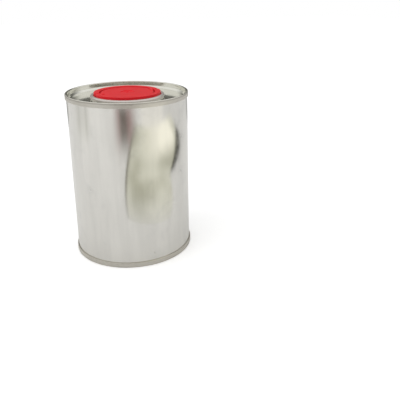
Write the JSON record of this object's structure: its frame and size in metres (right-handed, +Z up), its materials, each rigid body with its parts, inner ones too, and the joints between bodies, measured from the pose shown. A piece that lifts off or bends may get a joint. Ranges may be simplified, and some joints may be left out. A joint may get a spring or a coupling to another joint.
{
  "type": "paint can",
  "caption": "Round tinplate paint can with seamed ends and a red pull-up pouring spout: screw cap, folding bellows and two lifting bails.",
  "frame": {"origin": "middle of the bottom rim's plane", "axes": "+Z up along the can's axis; +X along the two bails' hinge lines; the front bail lies on the -Y side"},
  "size_m": [0.088, 0.088, 0.12],
  "materials": {
    "tinplate": "bright tinplate, unlacquered",
    "red_plastic": "moulded polyethylene, satin gloss",
    "white_foam": "closed-cell foam sheet",
    "sealing_compound": "dried sealing compound"
  },
  "bodies": {
    "can": {"body_shell": "tinplate", "bottom_end": "tinplate", "top_end": "tinplate", "top_seam_compound": "sealing_compound", "bottom_seam_compound": "sealing_compound", "crimp_ring": "tinplate", "spout_flange": "red_plastic"},
    "spout": {"spout_neck": "red_plastic", "spout_bellows": "red_plastic"},
    "liner": {"cap_liner": "white_foam"},
    "cap": {"cap": "red_plastic"},
    "front_bail": {"bail_front": "red_plastic"},
    "rear_bail": {"bail_rear": "red_plastic"}
  },
  "joints": [
    {"name": "spout_pull", "type": "slide", "parent": "can", "child": "spout", "axis": [0, 0, 1], "range_m": [0, 0.0236], "deforming": ["spout_bellows"]},
    {"name": "cap_rise", "type": "slide", "parent": "spout", "child": "liner", "axis": [0, 0, 1], "range_m": [0, 0.01904]},
    {"name": "cap_turn", "type": "hinge", "parent": "liner", "child": "cap", "pos_m": [0, 0, 0.1182], "axis": [0, 0, 1], "range_deg": [0, 1620]},
    {"name": "front_bail_fold", "type": "hinge", "parent": "cap", "child": "front_bail", "pos_m": [0, -0.0015, 0.1186], "axis": [-1, 0, 0], "range_deg": [0, 90]},
    {"name": "rear_bail_fold", "type": "hinge", "parent": "cap", "child": "rear_bail", "pos_m": [0, 0.0015, 0.1186], "axis": [1, 0, 0], "range_deg": [0, 90]}
  ],
  "couplings": [
    {"joint": "cap_rise", "follows": "cap_turn", "m_per_rad": 0.00067322}
  ]
}
